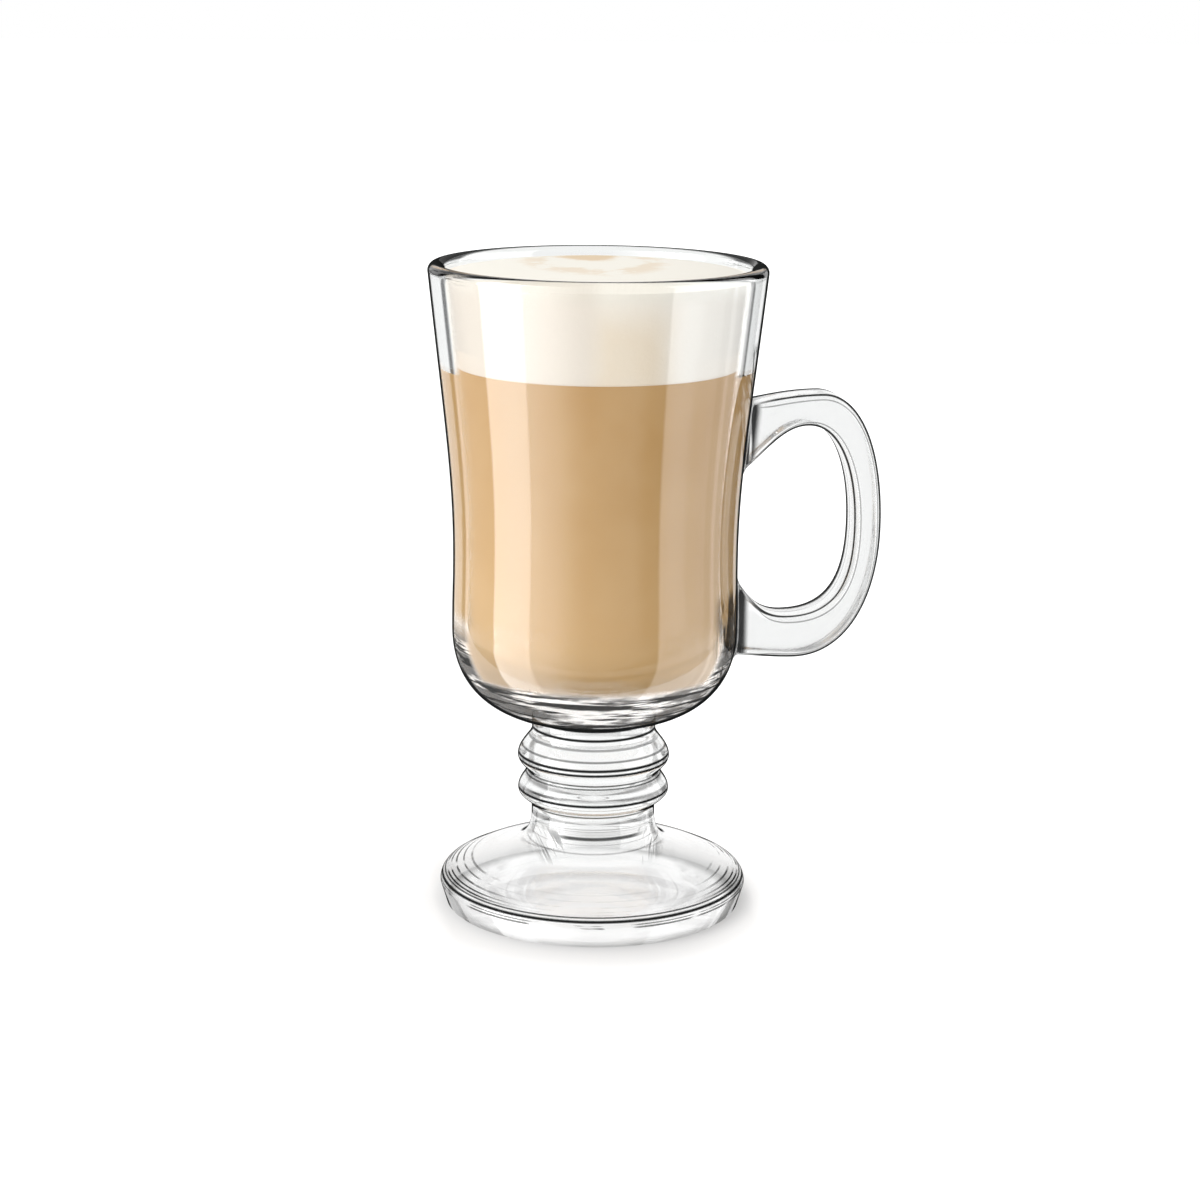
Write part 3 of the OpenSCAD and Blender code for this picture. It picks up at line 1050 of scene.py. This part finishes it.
# %% [markdown]
# ## Milk foam
# The foam is a fine froth. It is drier than the coffee, so a film of air stays between it and the glass: it
# shows at its true width, with clear wall beside it. Light and shade are painted on its side: paler on the
# right and greyer on the left. Its top is a low dome with a swirl of coffee in it. The swirl is a stain and
# has no thickness, so it is colour: a small heart at the back and a ragged ring round it. The pores are far
# too small to model and are relief.

# %% The foam's side
FOAM_MIDDLE = (0.84, 0.73, 0.575, 1)
FOAM_PALE = (0.90, 0.845, 0.75, 1)
FOAM_CLOUD = (0.92, 0.87, 0.77, 1)
# Painted light on the foam's right side and painted shade on its left
FOAM_PAINTED_LIGHT_RIGHT = (0.98, 0.95, 0.88, 1)
FOAM_PAINTED_SHADE_LEFT = (0.80, 0.73, 0.635, 1)
PALE_START = (coffee_z + 9 * MM, foam_edge)
PALE_SIDES = zone(9, 18)
RIGHT_START = zone(6, 17)
LEFT_END = zone(-8, -2)


def foam_side(sheet, place):
    """The foam's colour through the wall: warm in the middle just over the coffee, and paler round it."""
    x, _, z = sheet.parts(place)
    pale = z.rise(*PALE_START).or_more(x.size().rise(*PALE_SIDES))
    clouds = sheet.add("TexNoise", sockets={"Vector": place, "Scale": 42.0, "Detail": 4.0, "Roughness": 0.6})
    tone = sheet.blend(pale, FOAM_MIDDLE, FOAM_PALE)
    tone = sheet.blend(clouds.rise(0.4, 0.7) * 0.4, tone, FOAM_CLOUD)
    # painted light on the right, painted shade on the left
    tone = sheet.blend(x.rise(*RIGHT_START), tone, FOAM_PAINTED_LIGHT_RIGHT)
    return sheet.blend(x.fall(*LEFT_END), tone, FOAM_PAINTED_SHADE_LEFT)


# %% The swirl
SWIRL_BACK = 8 * MM
HEART_BACK = 18 * MM
RAGGED = 10 * MM
HEART_END = zone(4.5, 8.5)
SWIRL_RING = (*zone(10, 12.5), *zone(14.5, 18))


def swirl(sheet, place):
    """Where coffee stains the top: a heart, and a ring that is fainter and broken."""
    x, y, _ = sheet.parts(place)
    patches = sheet.add("TexNoise", sockets={
        "Vector": place, "Scale": 110.0, "Detail": 4.0, "Roughness": 0.65})
    ragged = (patches - 0.5) * RAGGED

    def away(back, depth_share):
        deep = y - back
        return (x * x + deep * deep * depth_share) ** 0.5 + ragged

    heart = away(HEART_BACK, 0.5).fall(*HEART_END)
    ring = away(SWIRL_BACK, 0.4).band(*SWIRL_RING) * patches.rise(0.37, 0.52)
    return heart.or_more(ring * 0.5)


# %% Foam finish
FOAM_TOP = (0.76, 0.73, 0.66, 1)
STAIN = (0.62, 0.46, 0.28, 1)
TOP_START = zone(0.2, 0.6, foam_edge)

milk_foam, sheet = new_finish("milk_foam")
place = sheet.coordinates()
top = sheet.parts(place)[2].rise(*TOP_START)
tone = sheet.blend(top, foam_side(sheet, place), FOAM_TOP)
tone = sheet.blend(top * swirl(sheet, place) * 0.85, tone, STAIN)
pores = sheet.add("TexVoronoi", sockets={"Vector": place, "Scale": 1500.0})
grain = sheet.add("TexNoise", sockets={"Vector": place, "Scale": 1400.0, "Detail": 2.0})
relief = sheet.add("Bump", sockets={"Strength": 0.25, "Distance": 0.15 * MM, "Height": pores + grain * 0.6})
sheet.finish(sheet.add("BsdfPrincipled", sockets={
    "Base Color": tone, "Roughness": 0.75, "Specular IOR Level": 0.3, "Normal": relief}))

# %% Foam
SEAM = 0.3 * MM
EDGE_GAP = 0.1 * MM
EDGE_DROP = 0.4 * MM
dome = curve(point(rim_in.x, foam_edge), point(rim_in.x * FULL, foam_top),
             point(rim_in.x * SOFT, foam_top), point(0, foam_top), steps=60)
foam_wall = [point(p.x - AIR, p.y) for p in inner_wall if coffee_z + SEAM < p.y < foam_edge - EDGE_DROP]
foam_outline = (
    [point(0, coffee_z), point(foam_wall[0].x - SEAM, coffee_z)]
    + foam_wall
    + [point(foam_wall[-1].x - EDGE_GAP, foam_edge)]
    + dome[2:]
)
foam = turned("foam_layer", foam_outline, [milk_foam])
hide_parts("milk_foam")

# %% [markdown]
# ## The table, the room and the light
# The photograph stands on white. The floor and the room are white to the camera, but they don't light the
# mug more for it. What the glass bends is a studio drawn by direction: white behind the mug but for a
# narrow dark gap at each side, dark side walls, a pale front and a dark ceiling. What it mirrors is a row
# of bright cards on each side. Those make some of the lines in clear glass, and painted shade the rest. Real
# cards on stands would do the same, but they would stand in the way of other views. Only one soft lamp is
# needed, at the front left. The floor's glow is painted light: strongest under the foot, and growing away
# from it and towards the right. It leaves out a soft ring round the foot, where the contact shadow stays.

# %% Floor
FLOOR_HALF = 6.0
FLOOR_DROP = 0.05 * MM
FLOOR_COLOUR = (0.8, 0.8, 0.8, 1)
OPEN_FLOOR = zone(36, 60)
RIGHT_GLOW = zone(5, 45)
FOOT_END = zone(34, 40)
BESIDE = zone(34, 38)
BESIDE_OUT = zone(35.5, 38)
UNDER_FOOT = zone(30, 34)

floor_material, sheet = new_finish("white_floor")
x, y, _ = sheet.parts(sheet.coordinates())
out = (x * x + y * y) ** 0.5
# Painted light on the floor, seen only by the camera: strong under the foot, more away from it and on the
# right
open_painted_light = out.rise(*OPEN_FLOOR) * 0.3 + (x.rise(*RIGHT_GLOW) * 0.17 + 0.02) * out.rise(*FOOT_END)
beside_painted_light = x.size().rise(*BESIDE) * out.rise(*BESIDE_OUT) * 0.075
painted_floor_light = (open_painted_light + beside_painted_light).or_more(out.fall(*UNDER_FOOT) * 0.68)
lit = sheet.add("BsdfPrincipled", sockets={
    "Base Color": FLOOR_COLOUR, "Roughness": 0.9, "Specular IOR Level": 0.0})
painted_light_emission = sheet.add("Emission", sockets={"Color": painted_floor_light, "Strength": 1.0})
both = sheet.add("AddShader", sockets={0: lit, 1: painted_light_emission})
sheet.finish(sheet.between(sheet.light_path("Is Camera Ray"), lit, both))

floor_mesh = bpy.data.meshes.new("floor")
corners = [(-FLOOR_HALF, -FLOOR_HALF), (FLOOR_HALF, -FLOOR_HALF),
           (FLOOR_HALF, FLOOR_HALF), (-FLOOR_HALF, FLOOR_HALF)]
floor_mesh.from_pydata([(x, y, -FLOOR_DROP) for x, y in corners], [], [(0, 1, 2, 3)])
floor_mesh.materials.append(floor_material)
floor = bpy.data.objects.new("floor", floor_mesh)
bpy.context.collection.objects.link(floor)
floor.visible_glossy = False
floor.visible_transmission = False
print("floor", 2 * FLOOR_HALF, "m wide")

# %% Directions in the room
world = bpy.data.worlds.new("studio")
bpy.context.scene.world = world
world.use_nodes = True
sheet = Sheet(world.node_tree)
x, y, z = sheet.parts(sheet.coordinates("Generated"))
BEHIND = (math.sin(HANDLE_TURN), math.cos(HANDLE_TURN))
back = x * BEHIND[0] + y * BEHIND[1]
side = x * BEHIND[1] - y * BEHIND[0]
level = (back * back + side * side) ** 0.5


def degrees(across, along):
    return sheet.add("Math", {"operation": "ARCTAN2"}, {0: across, 1: along}) * (180 / math.pi)


# How far round a direction lies from straight behind the mug, and how far up, both in degrees
turned_away = degrees(side.size(), back)
climb = degrees(z, level)
LEFT_HALF = (-0.1, 0.1)
CEILING = (30, 50)
left = side.fall(*LEFT_HALF)
ceiling = climb.rise(*CEILING)

# %% What the glass bends and mirrors
# All angles are in degrees from straight behind the mug, but for the floor's, which is a climb
CARD_SOFT = 1.5
DARK_GAP = (37, 44)
SIDE_WALL = (80, 105)
PALE_FRONT = (118, 140)
FRONT_START = (125, 129)
FRONT_END = (120, 178)
FLOOR_START = (-75, -55)
LEFT_CARDS = ((-9, 45, 1.0), (52, 67, 1.8), (67, 92, 1.5), (92, 127, 8.5))
RIGHT_CARDS = ((-9, 33, 1.0), (50, 83, 2.4), (56, 61, 1.8), (70, 75, 1.2), (83, 128, 3.0))


def card(start, end):
    """1 between two angles from straight behind the mug, with soft ends."""
    return turned_away.band(start - CARD_SOFT, start + CARD_SOFT, end - CARD_SOFT, end + CARD_SOFT)


def cards(rows):
    """Cards side by side, each with its two angles and its brightness."""
    return sum(card(start, end) * brightness for start, end, brightness in rows)


sides = turned_away.rise(*SIDE_WALL) * (1 - turned_away.rise(*PALE_FRONT) * 0.75)
through = (1 - card(*DARK_GAP) * 0.8) * (1 - sides * 0.95) * (1 - ceiling * 0.85)
front_fade = turned_away.fall(*FRONT_END) * turned_away.rise(*FRONT_START) * 5.2
mirrored = (cards(LEFT_CARDS) + front_fade) * left + cards(RIGHT_CARDS) * (1 - left)
mirrored = mirrored * (1 - ceiling) * climb.rise(*FLOOR_START) + 0.02

# %% Room
ROOM_LEVEL = 1.12
ROOM_LEAN = 0.65
bent = sheet.light_path("Is Transmission Ray")
gloss = sheet.light_path("Is Glossy Ray")
soft = ROOM_LEVEL - side * ROOM_LEAN
strength = soft + sheet.light_path("Is Camera Ray") * (1 - soft)
strength = strength * (1 - gloss) + mirrored * gloss
strength = strength * (1 - bent) + through * bent
light = sheet.add("Background", sockets={"Color": (1, 1, 1, 1), "Strength": strength})
sheet.finish(light, "OutputWorld")
print("room with", len(world.node_tree.nodes), "nodes")


# %% Lamp
def soft_lamp(name, place, aim, size, power):
    data = bpy.data.lights.new(name, "AREA")
    data.shape = "DISK"
    data.size = size
    data.energy = power
    lamp = bpy.data.objects.new(name, data)
    lamp.location = place
    lamp.rotation_euler = (Vector(aim) - Vector(place)).to_track_quat("-Z", "Y").to_euler()
    lamp.visible_glossy = False
    lamp.visible_transmission = False
    bpy.context.collection.objects.link(lamp)
    print(name, power, "W")


soft_lamp("left_lamp", place=(-1.1, -0.9, 1.1), aim=(0, 0, 0.09), size=1.6, power=8)

# %% [markdown]
# ## Colour view
# The plain Standard view keeps colours as they are written. The CAD solids' sizes are printed where the
# model is loaded.

# %% Colour view
bpy.context.scene.view_settings.view_transform = "Standard"
